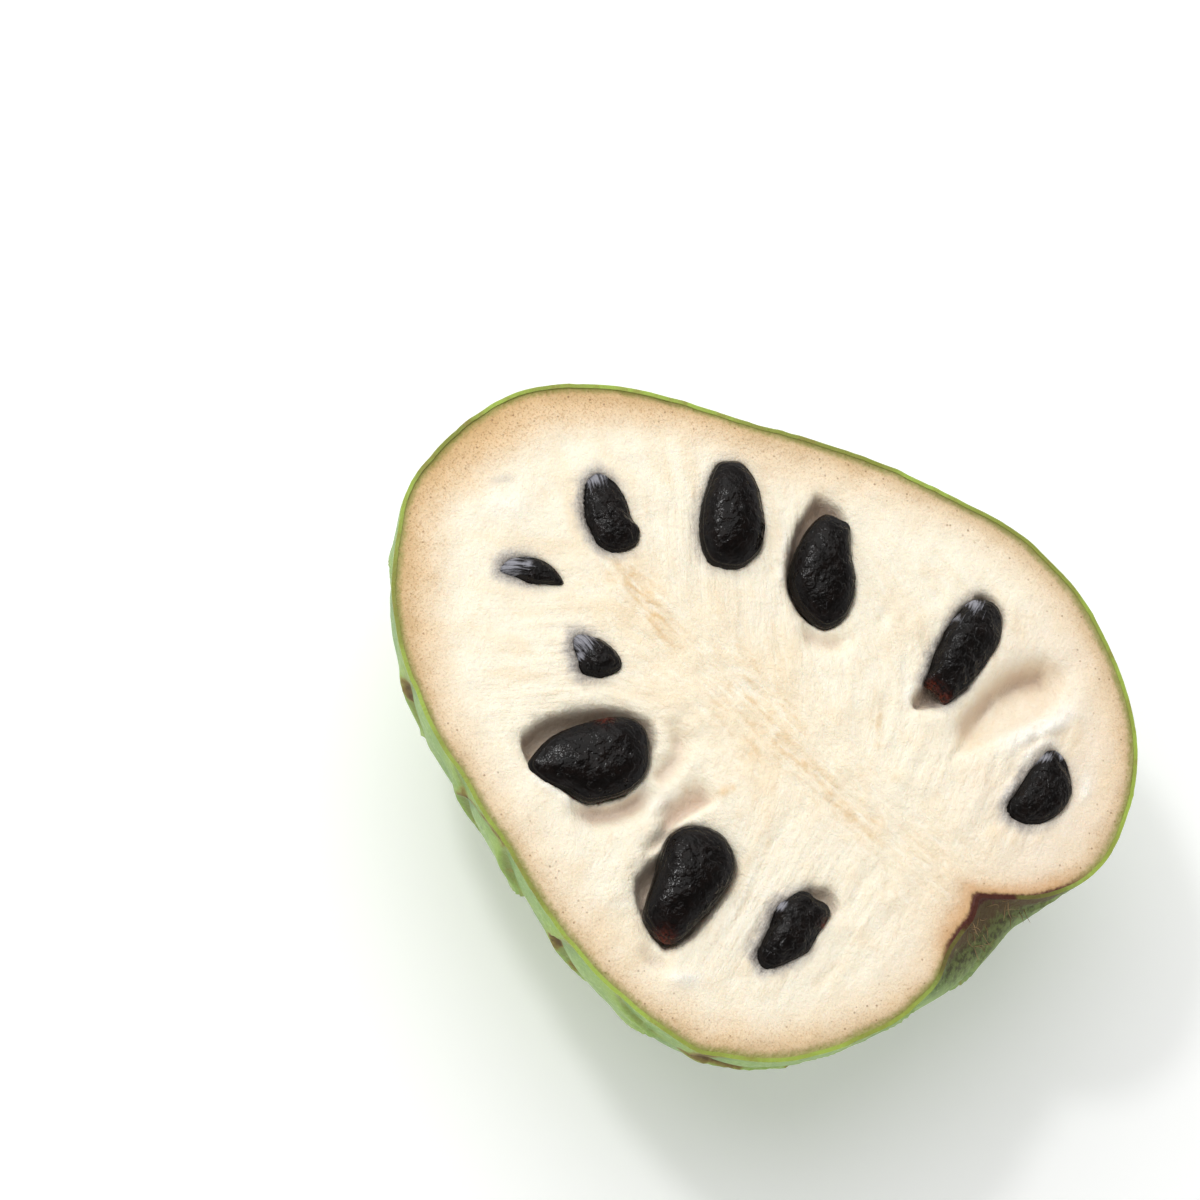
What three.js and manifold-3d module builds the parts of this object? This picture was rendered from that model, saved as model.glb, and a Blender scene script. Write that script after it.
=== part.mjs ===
// Half of a custard apple, cut lengthwise through its stem dimple and lying on its rounded back
// with the cut face up.
//
// Millimetres, +Z up. +X runs along the fruit's own axis to the stem end, -X to the blossom tip.
// The origin is the middle of the small flat spot that the half rests on.
import * as THREE from "three";
import { mergeVertices } from "three/addons/utils/BufferGeometryUtils.js";
import Module from "manifold-3d";

const wasm = await Module();
wasm.setup();

// ---- driving dimensions ----------------------------------------------------------------------

// The cut face's height over the ground, and where its middle stands over the flat spot.
const FACE_HEIGHT = 45;
const FACE_MIDDLE = { x: 0.2, y: -0.6 };

// Radius from the face's middle, at each angle from the stem: along the rim on the +Y side, down
// the back under the fruit's axis, and along the rim on the -Y side. 0 degrees is the stem dimple
// and 180 degrees the blossom tip.
const PROFILE = [
  { angle: 0, left: 43.2, back: 43.2, right: 43.2 },
  { angle: 4, left: 47.2, back: 45.4, right: 44.8 },
  { angle: 8, left: 51.3, back: 48.4, right: 45.4 },
  { angle: 12, left: 54.3, back: 51.2, right: 46.4 },
  { angle: 16, left: 56.3, back: 53.4, right: 48.5 },
  { angle: 24, left: 58.2, back: 55.2, right: 50.8 },
  { angle: 34, left: 58.7, back: 54.8, right: 52.7 },
  { angle: 46, left: 56.9, back: 52.3, right: 54.3 },
  { angle: 60, left: 54.3, back: 49.2, right: 54.6 },
  { angle: 75, left: 50.3, back: 46.8, right: 51.5 },
  { angle: 90, left: 45.6, back: 46.1, right: 48.6 },
  { angle: 105, left: 43.4, back: 46.8, right: 47.1 },
  { angle: 120, left: 43.1, back: 48.2, right: 48.6 },
  { angle: 135, left: 44.7, back: 50.8, right: 53.4 },
  { angle: 150, left: 50.8, back: 55.0, right: 58.9 },
  { angle: 160, left: 56.3, back: 58.6, right: 62.0 },
  { angle: 170, left: 61.1, back: 61.9, right: 64.2 },
  { angle: 180, left: 63.5, back: 63.5, right: 63.5 },
];
const STEPS_ALONG = 52; // facets of the back from stem to tip
const STEPS_ROUND = 44; // facets of the back from rim to rim

// The skin's areoles: shallow dishes with raised borders, in the spirals that they grow in.
const AREOLES = 130; // on the whole fruit
const AREOLE_SPACING = 18;
const AREOLE_RELIEF = 0.9;
const GOLDEN_ANGLE = Math.PI * (3 - Math.sqrt(5));

// Each seed: its middle on the cut face (+Z out of the face), the way its narrow end points, how
// far that end dips, how far it leans over about its length, its size, and its kidney bend.
const SEEDS = [
  { x: -38.8, y: 6.8, z: -1.6, heading: 139, dip: 14, lean: 0, size: [16, 10, 7], bend: 0 },
  { x: -39.6, y: -10.4, z: -2.5, heading: 31, dip: 0, lean: 56, size: [14, 9, 6.4], bend: 0 },
  { x: -25.6, y: -13.2, z: -2.4, heading: 178, dip: 14, lean: 24, size: [15, 9.4, 7], bend: 0 },
  { x: -14.4, y: -25.4, z: -0.4, heading: 231, dip: 3, lean: -10, size: [19.2, 12, 7.8], bend: 0 },
  { x: -23.8, y: 18.5, z: 0.2, heading: 132, dip: -3, lean: 0, size: [17.6, 10.8, 7.4], bend: 0 },
  { x: -7.2, y: 22.2, z: -0.6, heading: 132, dip: 3, lean: 6, size: [18.4, 11, 7.4], bend: 0.9 },
  { x: 16.2, y: 28.1, z: -0.8, heading: 107, dip: 2, lean: 12, size: [19.4, 9.6, 7], bend: 0 },
  { x: 39.3, y: 20.0, z: -1.4, heading: 104, dip: 8, lean: 18, size: [15.4, 9.4, 7], bend: 0 },
  { x: 7.8, y: -30.8, z: -0.1, heading: -63, dip: 2, lean: 4, size: [19.4, 11.8, 7.8], bend: 0 },
  { x: 24.6, y: -24.2, z: -1.0, heading: -80, dip: 4, lean: 14, size: [15.2, 9.6, 7], bend: 0 },
];
const SEED_GAP = 0.35; // all round each seed, between it and its socket
const SEED_TAPER = 0.3; // how much slimmer the narrow end is

// Places where flesh is open beyond a seed's own socket, each a long bowl in the face: the open
// pits around four seeds, the pit that a seed has fallen out of, and the slit between two lobes.
const PITS = [
  { x: -15.8, y: -23.4, z: 0, heading: 221, size: [24, 14.4, 11] },
  { x: -9.6, y: 24.8, z: 0, heading: 132, size: [19, 9.6, 7.6] },
  { x: 14.9, y: 30.2, z: 0, heading: 104, size: [17.4, 8.2, 7] },
  { x: 7.2, y: -30.4, z: 0, heading: -68, size: [21, 13.6, 8] },
  { x: 24.8, y: -19.6, z: 0, heading: -70, size: [11, 7.6, 6] },
  { x: 28.2, y: 27.4, z: 0, heading: 97, size: [23, 6.6, 11] },
  { x: 1.4, y: -22.2, z: 0, heading: 256, size: [11, 2.6, 7] },
];

// ---- shapes ----------------------------------------------------------------------------------

const rad = THREE.MathUtils.degToRad;

const profile = new THREE.CubicInterpolant(
  PROFILE.map((p) => p.angle),
  PROFILE.flatMap((p) => [p.left, p.back, p.right]),
  3,
);

// The skin before its relief. angle is from the stem; turn goes round the fruit's axis from the
// +Y rim (0) under the back (90) to the -Y rim (180), in degrees.
function smoothSkin(angle, turn) {
  const [left, back, right] = profile.evaluate(THREE.MathUtils.clamp(angle, 0, 180));
  const side = Math.cos(rad(turn));
  const rim = side > 0 ? left : right;
  const radius = back + (rim - back) * side * side;
  const away = Math.sin(rad(angle));
  return new THREE.Vector3(
    Math.cos(rad(angle)),
    away * side,
    -away * Math.sin(rad(turn)),
  ).multiplyScalar(radius);
}

const areoles = Array.from({ length: AREOLES }, (_, i) => {
  const angle = Math.acos(1 - (2 * (i + 0.5)) / AREOLES);
  return smoothSkin(THREE.MathUtils.radToDeg(angle), THREE.MathUtils.radToDeg(i * GOLDEN_ANGLE));
});

// The skin with each areole sunk a little at its middle and raised where it meets the next.
function skin(angle, turn) {
  const point = smoothSkin(angle, turn);
  const nearest = Math.min(...areoles.map((a) => a.distanceTo(point)));
  const dish = Math.min((2 * nearest) / AREOLE_SPACING, 1) ** 2 - 0.5;
  return point.setLength(point.length() + AREOLE_RELIEF * dish);
}

// A closed mesh of numbered corners as a solid.
function solidOf(geometry) {
  const bare = geometry.clone();
  bare.deleteAttribute("normal");
  bare.deleteAttribute("uv");
  const merged = mergeVertices(bare, 1e-4);
  return new wasm.Manifold(
    new wasm.Mesh({
      numProp: 3,
      vertProperties: merged.attributes.position.array,
      triVerts: new Uint32Array(merged.index.array),
    }),
  );
}

function geometryOf(solid) {
  const mesh = solid.getMesh();
  const geometry = new THREE.BufferGeometry()
    .setAttribute("position", new THREE.BufferAttribute(mesh.vertProperties, 3))
    .setIndex(new THREE.BufferAttribute(mesh.triVerts, 1))
    .toNonIndexed();
  geometry.computeVertexNormals();
  return geometry;
}

// The half with a plain cut face: the back as a grid from stem to tip and rim to rim, and the
// face as a fan about its middle.
function plainHalf() {
  const rows = STEPS_ALONG - 1; // between the single corners at the stem and the tip
  const corners = [smoothSkin(0, 90)];
  for (let i = 1; i <= rows; i++)
    for (let j = 0; j <= STEPS_ROUND; j++)
      corners.push(skin((180 * i) / STEPS_ALONG, (180 * j) / STEPS_ROUND));
  corners.push(smoothSkin(180, 90), new THREE.Vector3(0, 0, 0));
  const stem = 0;
  const tip = corners.length - 2;
  const middle = corners.length - 1;
  const at = (i, j) => 1 + (i - 1) * (STEPS_ROUND + 1) + j;

  const faces = [];
  for (let j = 0; j < STEPS_ROUND; j++) {
    faces.push(stem, at(1, j + 1), at(1, j));
    faces.push(tip, at(rows, j), at(rows, j + 1));
    for (let i = 1; i < rows; i++) {
      faces.push(at(i, j), at(i + 1, j + 1), at(i + 1, j));
      faces.push(at(i, j), at(i, j + 1), at(i + 1, j + 1));
    }
  }
  const rim = [stem];
  for (let i = 1; i <= rows; i++) rim.push(at(i, 0));
  rim.push(tip);
  for (let i = rows; i >= 1; i--) rim.push(at(i, STEPS_ROUND));
  rim.forEach((corner, k) => faces.push(middle, corner, rim[(k + 1) % rim.length]));

  return new THREE.BufferGeometry()
    .setAttribute(
      "position",
      new THREE.BufferAttribute(new Float32Array(corners.flatMap((c) => c.toArray())), 3),
    )
    .setIndex(faces);
}

// A flattened egg with its narrow end along +X, grown by gap all round.
function seedShape([length, width, thickness], bend, gap) {
  const shape = new THREE.SphereGeometry(1, 16, 10).rotateY(Math.PI / 2);
  const place = shape.attributes.position;
  for (let i = 0; i < place.count; i++) {
    const along = place.getX(i);
    const slim = 1 - SEED_TAPER * Math.max(0, along) ** 1.5;
    place.setXYZ(
      i,
      along * (length / 2 + gap),
      place.getY(i) * slim * (width / 2 + gap) + bend * (2 * along * along - 1),
      place.getZ(i) * slim * (thickness / 2 + gap),
    );
  }
  return shape;
}

const bowlShape = ([length, width, depth]) => new THREE.SphereGeometry(1, 16, 10)
  .rotateX(Math.PI / 2)
  .scale(length / 2, width / 2, depth / 2);

// Where a seed or a pit sits in the cut face.
function seat({ x, y, z, heading, dip = 0, lean = 0 }) {
  const turned = new THREE.Euler(rad(lean), rad(dip), rad(heading), "ZYX");
  return new THREE.Matrix4().compose(
    new THREE.Vector3(x, y, z),
    new THREE.Quaternion().setFromEuler(turned),
    new THREE.Vector3(1, 1, 1),
  );
}

// ---- the fruit's flesh and rind, grown as one piece ------------------------------------------

const onFace = new THREE.Group();
onFace.position.set(-FACE_MIDDLE.x, -FACE_MIDDLE.y, FACE_HEIGHT);

let half = solidOf(plainHalf());
for (const seed of SEEDS) {
  const socket = seedShape(seed.size, seed.bend, SEED_GAP).applyMatrix4(seat(seed));
  half = half.subtract(solidOf(socket));
}
for (const pit of PITS) half = half.subtract(solidOf(bowlShape(pit.size).applyMatrix4(seat(pit))));

const GROUND_SLAB = 10; // thicker than what the flat spot takes off the round back
const slab = new THREE.BoxGeometry(100, 100, GROUND_SLAB);
half = half.subtract(solidOf(slab.translate(0, 0, -FACE_HEIGHT - GROUND_SLAB / 2)));

const flesh = new THREE.MeshStandardMaterial({ color: "#efe3c4", roughness: 0.55 });
const fruit = new THREE.Mesh(geometryOf(half), flesh);
fruit.name = "half_fruit";
onFace.add(fruit);

// ---- the seeds -------------------------------------------------------------------------------

const seedCoat = new THREE.MeshStandardMaterial({ color: "#120d0b", roughness: 0.2 });
SEEDS.forEach((seed, i) => {
  const mesh = new THREE.Mesh(seedShape(seed.size, seed.bend, 0), seedCoat);
  mesh.name = `seed_${i + 1}`;
  mesh.applyMatrix4(seat(seed));
  onFace.add(mesh);
});

const group = new THREE.Group();
group.add(onFace);

export default group;
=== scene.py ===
import math

import bmesh
import bpy
import numpy as np
from mathutils import Matrix, Vector, noise


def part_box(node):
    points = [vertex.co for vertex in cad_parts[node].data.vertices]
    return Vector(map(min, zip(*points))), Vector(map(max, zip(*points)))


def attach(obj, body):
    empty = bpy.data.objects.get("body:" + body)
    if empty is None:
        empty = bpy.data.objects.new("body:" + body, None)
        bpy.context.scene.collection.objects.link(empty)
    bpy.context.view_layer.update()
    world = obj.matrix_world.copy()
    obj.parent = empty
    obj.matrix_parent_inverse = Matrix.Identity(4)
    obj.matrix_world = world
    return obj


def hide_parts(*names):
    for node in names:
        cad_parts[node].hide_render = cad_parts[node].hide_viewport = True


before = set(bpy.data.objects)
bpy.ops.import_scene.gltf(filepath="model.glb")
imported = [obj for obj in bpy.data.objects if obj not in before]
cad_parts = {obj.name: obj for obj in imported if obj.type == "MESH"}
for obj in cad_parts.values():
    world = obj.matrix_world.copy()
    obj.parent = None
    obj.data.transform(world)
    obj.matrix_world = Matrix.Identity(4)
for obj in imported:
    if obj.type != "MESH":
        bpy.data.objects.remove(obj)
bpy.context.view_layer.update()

# ---- The fruit's form ------------------------------------------------------------------------
# Half of a custard apple, cut lengthwise and lying on its back with the cut face up. Its flesh
# and its thin green rind grew as one piece, round the fruit's axis, which runs along X: the
# stem dimple is at +X and the blossom tip at -X. All the shaping below is in millimetres, about
# the middle of the cut face.

MM = 0.001
face_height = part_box("half_fruit")[1].z / MM
face_middle = np.array([-0.2, 0.6, face_height])
ground = -face_height

# Radius from the face's middle at each angle from the stem: the rim on the +Y side, the back
# under the fruit's axis, and the rim on the -Y side.
PROFILE = np.array([
    (0, 43.2, 43.2, 43.2),
    (4, 47.2, 45.4, 44.8),
    (8, 51.3, 48.4, 45.4),
    (12, 54.3, 51.2, 46.4),
    (16, 56.3, 53.4, 48.5),
    (24, 58.2, 55.2, 50.8),
    (34, 58.7, 54.8, 52.7),
    (46, 56.9, 52.3, 54.3),
    (60, 54.3, 49.2, 54.6),
    (75, 50.3, 46.8, 51.5),
    (90, 45.6, 46.1, 48.6),
    (105, 43.4, 46.8, 47.1),
    (120, 43.1, 48.2, 48.6),
    (135, 44.7, 50.8, 53.4),
    (150, 50.8, 55.0, 58.9),
    (160, 56.3, 58.6, 62.0),
    (170, 61.1, 61.9, 64.2),
    (180, 63.5, 63.5, 63.5),
])


def smooth_curve(knots, values, at):
    """Rows of values, on a smooth curve through their knots, at each given place."""
    slopes = np.gradient(values, knots, axis=0)
    row = np.clip(np.searchsorted(knots, at, side="right") - 1, 0, len(knots) - 2)
    span = (knots[row + 1] - knots[row])[:, None]
    t = (at - knots[row])[:, None] / span
    return (
        values[row] * (2 * t**3 - 3 * t**2 + 1)
        + slopes[row] * span * (t**3 - 2 * t**2 + t)
        + values[row + 1] * (3 * t**2 - 2 * t**3)
        + slopes[row + 1] * span * (t**3 - t**2)
    )


def smooth_skin(way):
    """Points on the skin, before its relief, in each direction from the face's middle."""
    way = way / np.linalg.norm(way, axis=1)[:, None]
    angle = np.degrees(np.arccos(np.clip(way[:, 0], -1, 1)))
    side = way[:, 1] / np.maximum(np.hypot(way[:, 1], way[:, 2]), 1e-9)
    left, back, right = smooth_curve(PROFILE[:, 0], PROFILE[:, 1:], angle).T
    rim = np.where(side > 0, left, right)
    return way * (back + (rim - back) * side**2)[:, None]


def ease(low, high, value):
    """0 at low, 1 at high, and a smooth step between them."""
    t = np.clip((value - low) / (high - low), 0, 1)
    return t * t * (3 - 2 * t)


def bell(value, width):
    return np.exp(-((value / width) ** 2))


def rough(points, size, octaves=3, seed=0.0):
    """Fractal noise, about -1 to 1, with its largest lumps size millimetres apart."""
    return np.array([
        noise.fractal(Vector(p), 1.0, 2.0, octaves, noise_basis="PERLIN_NEW")
        for p in (points + seed) / size
    ])


def on_plane(*columns):
    """Columns of numbers as points in space, level where no third column is given."""
    flat = [*columns, np.zeros(len(columns[0]))][:3]
    return np.stack(flat, axis=1)


def places(mesh):
    """A mesh's corners in millimetres about the face's middle."""
    flat = np.empty(len(mesh.vertices) * 3)
    mesh.vertices.foreach_get("co", flat)
    return flat.reshape(-1, 3) / MM - face_middle


def put(mesh, points):
    mesh.vertices.foreach_set("co", ((points + face_middle) * MM).ravel())
    mesh.update()


def note(mesh, name, values):
    """Keeps one number per corner under a name that the piece's finish reads."""
    data = mesh.attributes.new(name, "FLOAT", "POINT").data
    data.foreach_set("value", np.asarray(values, np.float32))


def start_mesh(add, **options):
    """Adds one primitive with nothing else selected, and returns its object."""
    bpy.ops.object.select_all(action="DESELECT")
    add(**options)
    return bpy.context.object


def in_edit_mode(piece, *steps):
    """Runs edit-mode operators on one piece's mesh."""
    bpy.ops.object.select_all(action="DESELECT")
    bpy.context.view_layer.objects.active = piece
    piece.select_set(True)
    bpy.ops.object.mode_set(mode="EDIT")
    for step in steps:
        step()
    bpy.ops.object.mode_set(mode="OBJECT")


def apply_modifier(piece, kind, **settings):
    bpy.context.view_layer.objects.active = piece
    modifier = piece.modifiers.new(kind.title(), kind)
    for name, value in settings.items():
        setattr(modifier, name, value)
    bpy.ops.object.modifier_apply(modifier=modifier.name)


def corners_of(piece):
    flat = np.empty(len(piece.data.vertices) * 3)
    piece.data.vertices.foreach_get("co", flat)
    return flat.reshape(-1, 3)


def half_ball(name, steps, lower):
    """Half of an even ball of squares, below or above the level of the cut face."""
    ball = start_mesh(bpy.ops.mesh.primitive_cube_add, size=2)
    ball.name = ball.data.name = name
    side = 1 if lower else -1
    in_edit_mode(
        ball,
        lambda: bpy.ops.mesh.subdivide(number_cuts=steps - 1),
        lambda: bpy.ops.mesh.bisect(
            plane_co=(0, 0, 0), plane_no=(0, 0, side), clear_outer=True, threshold=1e-5),
    )
    corners = np.tan(corners_of(ball) * math.pi / 4)
    corners /= np.linalg.norm(corners, axis=1)[:, None]
    corners[np.abs(corners[:, 2]) < 1e-5, 2] = 0
    ball.data.vertices.foreach_set("co", corners.ravel())
    return ball, corners


class Number:
    """A shader socket that can be used in sums."""

    def __init__(self, finish, socket):
        self.finish = finish
        self.socket = socket

    def maths(self, operation, a, b):
        return self.finish.node("ShaderNodeMath", {"operation": operation}, {0: a, 1: b})

    def __add__(self, other):
        return self.maths("ADD", self, other)

    def __sub__(self, other):
        return self.maths("SUBTRACT", self, other)

    def __rsub__(self, other):
        return self.maths("SUBTRACT", other, self)

    def __mul__(self, other):
        return self.maths("MULTIPLY", self, other)

    __radd__ = __add__
    __rmul__ = __mul__


class Finish:
    """A material, built node by node."""

    def __init__(self, name):
        self.material = bpy.data.materials.new(name)
        self.material.use_nodes = True
        self.tree = self.material.node_tree
        self.tree.nodes.clear()

    def node(self, kind, settings=None, sockets=None, out=0):
        made = self.tree.nodes.new(kind)
        for name, value in (settings or {}).items():
            setattr(made, name, value)
        for name, value in (sockets or {}).items():
            if isinstance(value, Number):
                self.tree.links.new(value.socket, made.inputs[name])
            else:
                made.inputs[name].default_value = value
        return Number(self, made.outputs[out])

    def noted(self, name):
        return self.node("ShaderNodeAttribute", {"attribute_name": name}, out="Fac")

    def spread(self, size, stretch, where):
        """Coordinates in which size millimetres are one unit."""
        where = where or self.node("ShaderNodeTexCoord", out="Object")
        return self.node("ShaderNodeVectorMath", {"operation": "MULTIPLY"}, {
            0: where, 1: tuple(s / size for s in stretch)})

    def grain(self, size, detail=2.0, roughness=0.5, stretch=(1, 1, 1), where=None):
        """Noise from 0 to 1 with lumps about size millimetres apart."""
        scale = size if where else size * MM
        return self.node("ShaderNodeTexNoise", {}, {
            "Vector": self.spread(scale, stretch, where),
            "Scale": 1.0, "Detail": detail, "Roughness": roughness})

    def specks(self, size):
        """Distance from scattered points about size millimetres apart, as a share of size."""
        return self.node("ShaderNodeTexVoronoi", {}, {
            "Vector": self.spread(size * MM, (1, 1, 1), None), "Scale": 1.0})

    def along(self, first, second):
        """Coordinates made of two numbers noted on the mesh, in millimetres."""
        return self.node("ShaderNodeCombineXYZ", {}, {
            0: self.noted(first), 1: self.noted(second)})

    def step(self, value, low, high):
        return self.node("ShaderNodeMapRange", {"interpolation_type": "SMOOTHSTEP"}, {
            "Value": value, "From Min": low, "From Max": high})

    def mix(self, share, first, second):
        return self.node("ShaderNodeMix", {"data_type": "RGBA"}, {
            0: share,
            6: first if isinstance(first, Number) else (*first, 1.0),
            7: second if isinstance(second, Number) else (*second, 1.0)}, out=2)

    def bump(self, height, depth):
        return self.node("ShaderNodeBump", {}, {
            "Height": height, "Distance": depth * MM, "Strength": 1.0})

    def surface(self, **sockets):
        shader = self.node("ShaderNodeBsdfPrincipled", {}, {
            name.replace("_", " "): value for name, value in sockets.items()}, out="BSDF")
        output = self.tree.nodes.new("ShaderNodeOutputMaterial")
        self.tree.links.new(shader.socket, output.inputs["Surface"])
        return self.material


def srgb(red, green, blue):
    """A colour given as a screen shows it, 0 to 255, as a shader wants it."""
    return tuple((c / 255 / 12.92 if c <= 10 else ((c / 255 + 0.055) / 1.055) ** 2.4)
                 for c in (red, green, blue))


def smooth_all(piece, angle=180):
    bpy.ops.object.select_all(action="DESELECT")
    piece.select_set(True)
    bpy.context.view_layer.objects.active = piece
    bpy.ops.object.shade_smooth_by_angle(angle=math.radians(angle))


# ---- The rind --------------------------------------------------------------------------------
# A thin green skin, smooth and a little waxy, marked all over by areoles: shallow thumb-shaped
# dishes, one for each carpel, in the spirals that they grew in. Their round ends point to the
# blossom tip under a raised lip, and towards the stem they grow long and narrow.

RIND_THICKNESS = 0.6
AREOLES = 130
GOLDEN_ANGLE = math.pi * (3 - math.sqrt(5))
AREOLE_HALF_WIDTH = 9.4
AREOLE_HALF_LENGTH = 10.8
STEM_STRETCH = 0.6  # how much longer an areole is next to the stem
STEM_PINCH = 0.26  # and how much narrower
LIP_HEIGHT = 0.9
DISH_DEPTH = 0.6
CALM_EDGE = 7.0  # the relief grows from the knife's edge to its full height over this depth
WANDER = 1.3  # how far the areoles' edges stray
BORDER_WIDTH = 0.8
SCAR_WIDTH = 1.5
DIMPLE_FROM, DIMPLE_TO = 10, 21  # how far from the stem the dimple's bark starts to thin, and ends
stem_dimple = np.array([PROFILE[0, 1], 0, 0])


def way_of(angle, turn):
    """The direction at an angle from the stem and a turn about the fruit's axis, in radians."""
    away = math.sin(angle)
    return np.array([[math.cos(angle), away * math.cos(turn), -away * math.sin(turn)]])


def areole_map(points):
    """For each point of the skin: how far it is inside its own areole's edge, how far outside
    the next one's lip, how much each of those edges is the round end, and which areole it is."""
    inside = np.full(len(points), 6.0)
    outside = np.full(len(points), 99.0)
    end_in = np.zeros(len(points))
    end_out = np.zeros(len(points))
    owner = np.full(len(points), -1)
    for i in reversed(range(AREOLES)):
        angle = math.acos(1 - 2 * (i + 0.5) / AREOLES)
        turn = i * GOLDEN_ANGLE
        middle = smooth_skin(way_of(angle, turn))[0]
        if middle[2] > 16:
            continue
        to_tip = smooth_skin(way_of(angle + 0.02, turn))[0] - middle
        to_tip /= np.linalg.norm(to_tip)
        around = np.array([0.0, -math.sin(turn), -math.cos(turn)])
        near_stem = 1 - ease(25, 80, math.degrees(angle))
        half_width = AREOLE_HALF_WIDTH * (1 - STEM_PINCH * near_stem)
        half_length = AREOLE_HALF_LENGTH * (1 + STEM_STRETCH * near_stem)
        offset = points - middle
        across = offset @ around
        along = offset @ to_tip
        close = (np.linalg.norm(offset, axis=1) < 34) & (along > -1.7 * half_length)
        reach = np.hypot(across / half_width, np.maximum(along, 0) / half_length)
        size = np.where(along > 0, half_length, half_width)
        end = np.clip(along / half_length, 0, 1)
        mine = close & (reach < 1)
        inside[mine] = ((1 - reach) * size)[mine]
        end_in[mine] = end[mine]
        outside[mine] = 99.0
        owner[mine] = i
        gap = (reach - 1) * size
        beside = close & (reach >= 1) & (gap < outside) & (along > -0.5 * half_length)
        outside[beside] = gap[beside]
        end_out[beside] = end[beside]
    return inside, outside, end_in, end_out, owner


def grown_skin(way):
    """Points on the skin with its relief, in each direction, and the marks that it carries."""
    plain = smooth_skin(way)
    wander = np.stack([rough(plain, 9, 2, 60 * k) for k in range(1, 4)], axis=1)
    inside, outside, end_in, end_out, owner = areole_map(plain + WANDER * wander)
    lip = bell(outside, 2.8) * ease(0, 1.0, outside) * (0.3 + 0.7 * end_out)
    dish = bell(inside, 2.6) * ease(0, 1.0, inside) * (0.25 + 0.75 * end_in)
    from_border = np.minimum(inside, outside)
    rounded_end = np.clip(0.35 + end_in + end_out, 0, 1)
    border = bell(from_border, BORDER_WIDTH) * rounded_end
    relief = LIP_HEIGHT * lip - DISH_DEPTH * dish - 0.25 * border
    relief += 0.4 * (1 - bell(inside, 5)) - 0.1
    relief *= 0.12 + 0.88 * ease(0, CALM_EDGE, -plain[:, 2])
    relief += 0.35 * rough(plain, 12, 2) + 0.06 * rough(plain, 1.7, 2, 40)
    from_stem = np.linalg.norm(plain - stem_dimple, axis=1)
    relief *= ease(4, 11, from_stem)
    patchy = ease(-0.05, 0.45, rough(plain, 8, 3, 90))
    marks = {
        "lip": lip,
        "dish": dish,
        "border": border,
        "scar": bell(from_border, SCAR_WIDTH) * rounded_end * patchy,
        "shade": np.random.default_rng(7).random(AREOLES + 1)[owner],
    }
    length = np.linalg.norm(plain, axis=1)
    return plain * (1 + relief / length)[:, None], marks


rind, ways = half_ball("rind", 124, lower=True)
skin, marks = grown_skin(ways)
skin[:, 2] = np.maximum(skin[:, 2], ground)
at_cut = ways[:, 2] == 0
skin[at_cut, 2] = 0
put(rind.data, skin)
for name, values in marks.items():
    note(rind.data, name, values)
note(rind.data, "cut_edge", at_cut)

# Inside the stem dimple the skin is brown and fibrous at the lips, and olive lower down.
from_stem = np.linalg.norm(skin - stem_dimple, axis=1)
in_dimple = 1 - ease(DIMPLE_FROM, DIMPLE_TO, from_stem)
lips = bell(skin[:, 2], 0.7) * (1 - ease(4, 9, from_stem + 2 * rough(skin, 2.0, 2, 33)))
note(rind.data, "dimple", in_dimple)
note(rind.data, "bark", in_dimple * np.clip(bell(skin[:, 2], 5.5) + bell(from_stem, 7.5), 0, 1))
note(rind.data, "woody", np.clip(lips + bell(from_stem, 2.2), 0, 1))

apply_modifier(
    rind, "SOLIDIFY", thickness=RIND_THICKNESS * MM, offset=-1, use_rim=True, use_even_offset=True)
points = places(rind.data)
edge = np.zeros(len(points))
rind.data.attributes["cut_edge"].data.foreach_get("value", edge)
points[edge > 0.5, 2] = 0
points[:, 2] = np.minimum(points[:, 2], 0)
put(rind.data, points)
smooth_all(rind, 50)

finish = Finish("waxy_green_rind")
lip_mask = finish.noted("lip")
dish_shade_mask = finish.noted("dish")
border_mask = finish.noted("border")
patches = finish.grain(15, 3)
mottle = finish.grain(2.6, 3, 0.6)
speckle = finish.grain(0.6, 3, 0.6)
green = finish.mix(
    finish.step(patches + (finish.noted("shade") - 0.5) * 0.35, 0.32, 0.7),
    srgb(106, 144, 66), srgb(142, 174, 88))
leathery = finish.grain(1.2, 4, 0.65)
green = finish.mix(finish.step(mottle, 0.4, 0.68) * 0.35, green, srgb(138, 172, 84))
green = finish.mix(finish.step(leathery, 0.5, 0.32) * 0.4, green, srgb(98, 136, 60))
green = finish.mix(finish.step(leathery, 0.52, 0.7) * 0.4, green, srgb(172, 198, 116))
green = finish.mix(finish.step(speckle, 0.52, 0.72) * 0.45, green, srgb(188, 208, 148))
# Painted shade: each areole's dish is painted a darker green, strongest under its raised round end.
green = finish.mix(dish_shade_mask * 0.75, green, srgb(70, 108, 46))
green = finish.mix(lip_mask * (0.35 + 0.5 * mottle), green, srgb(158, 182, 62))
green = finish.mix(
    finish.step(border_mask + (mottle - 0.5) * 0.8, 0.2, 1.0) * 0.65, green, srgb(124, 128, 48))
scar = finish.step(
    finish.noted("scar") + (mottle - 0.5) * 0.7 + (speckle - 0.5) * 0.3, 0.15, 0.95)
green = finish.mix(finish.step(scar, 0.0, 0.6) * 0.7, green, srgb(144, 124, 52))
green = finish.mix(finish.step(scar, 0.35, 1.0) * 0.7, green, srgb(112, 84, 40))
green = finish.mix(finish.step(scar * border_mask, 0.5, 1.0) * 0.65, green, srgb(66, 46, 26))
dots = finish.step(finish.specks(3.4), 0.13, 0.06) * finish.step(finish.grain(9, 1), 0.45, 0.6)
green = finish.mix(dots * 0.7, green, srgb(64, 66, 34))
dimple_mask = finish.noted("dimple")
hairs = finish.grain(0.8, 4, 0.65, stretch=(1, 1, 0.35))
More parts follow.
